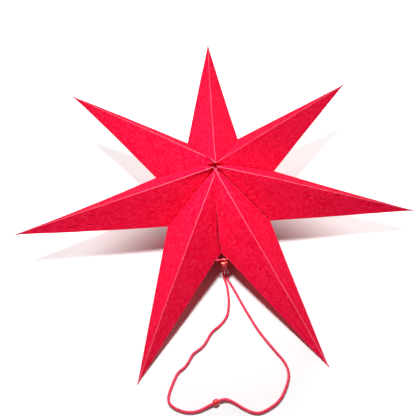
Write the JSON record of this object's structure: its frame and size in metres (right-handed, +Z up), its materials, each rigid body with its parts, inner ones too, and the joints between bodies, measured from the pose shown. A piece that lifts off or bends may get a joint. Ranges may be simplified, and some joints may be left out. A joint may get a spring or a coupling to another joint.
{
  "type": "paper star lantern",
  "caption": "Folding paper star lantern: hollow folded paper arms glued along their valleys, one open seam cinched by a beaded hanging loop of cord.",
  "frame": {"origin": "middle of the star's box, without its cord, on the surface that the star lies on", "axes": "+Z up from the surface, +Y towards the tip of the top arm, +X to the right seen from the front; the star's own axis leans 14 degrees from +Z, as it rests on its back pole and two lower tips"},
  "size_m": [0.587, 0.6064, 0.1388],
  "materials": {
    "star_paper": "matte handmade paper",
    "cord": "twisted satin cord",
    "bead": "glossy"
  },
  "bodies": {
    "lower_right_arm": {"arm_lower_right": "star_paper", "hanging_loop": "cord", "tie_end_left": "cord", "tie_end_right": "cord", "knot_right": "cord"},
    "right_arm": {"arm_right": "star_paper"},
    "upper_right_arm": {"arm_upper_right": "star_paper"},
    "top_arm": {"arm_top": "star_paper"},
    "upper_left_arm": {"arm_upper_left": "star_paper"},
    "left_arm": {"arm_left": "star_paper"},
    "lower_left_arm": {"arm_lower_left": "star_paper", "knot_left": "cord"},
    "cinch_slider": {"cinch_bead": "bead"},
    "loop_spinner": {"loop_bead": "bead"}
  },
  "joints": [
    {"name": "fold_lower_left", "type": "hinge", "parent": "lower_right_arm", "child": "lower_left_arm", "pos_m": [-0.0024, 0.00413, 0.00003], "axis": [-0.0235, 0.2403, -0.9704], "range_deg": [0, 293.07], "deforming": ["arm_lower_left", "arm_lower_right", "tie_end_left"]},
    {"name": "fold_right", "type": "hinge", "parent": "lower_right_arm", "child": "right_arm", "pos_m": [-0.0024, 0.00413, 0.00003], "axis": [-0.0235, 0.2403, -0.9704], "range_deg": [0, 49.98], "deforming": ["arm_right"]},
    {"name": "fold_upper_right", "type": "hinge", "parent": "lower_right_arm", "child": "upper_right_arm", "pos_m": [-0.0024, 0.00413, 0.00003], "axis": [-0.0235, 0.2403, -0.9704], "range_deg": [0, 96.41], "deforming": ["arm_upper_right"]},
    {"name": "fold_top", "type": "hinge", "parent": "lower_right_arm", "child": "top_arm", "pos_m": [-0.0024, 0.00413, 0.00003], "axis": [-0.0235, 0.2403, -0.9704], "range_deg": [0, 143.84], "deforming": ["arm_top"]},
    {"name": "fold_upper_left", "type": "hinge", "parent": "lower_right_arm", "child": "upper_left_arm", "pos_m": [-0.0024, 0.00413, 0.00003], "axis": [-0.0235, 0.2403, -0.9704], "range_deg": [0, 192.76], "deforming": ["arm_upper_left"]},
    {"name": "fold_left", "type": "hinge", "parent": "lower_right_arm", "child": "left_arm", "pos_m": [-0.0024, 0.00413, 0.00003], "axis": [-0.0235, 0.2403, -0.9704], "range_deg": [0, 241.69], "deforming": ["arm_left"]},
    {"name": "cinch_slide", "type": "slide", "parent": "lower_right_arm", "child": "cinch_slider", "axis": [0, 0, -1], "range_m": [0, 0.015]},
    {"name": "loop_bead_spin", "type": "hinge", "parent": "lower_right_arm", "child": "loop_spinner", "pos_m": [-0.01963, -0.30932, 0.0041], "axis": [0.9271, 0.3728, 0.0382], "continuous": true}
  ],
  "couplings": [
    {"joint": "fold_right", "follows": "fold_lower_left", "ratio": 0.17036},
    {"joint": "fold_upper_right", "follows": "fold_lower_left", "ratio": 0.32878},
    {"joint": "fold_top", "follows": "fold_lower_left", "ratio": 0.49062},
    {"joint": "fold_upper_left", "follows": "fold_lower_left", "ratio": 0.65757},
    {"joint": "fold_left", "follows": "fold_lower_left", "ratio": 0.82452}
  ]
}
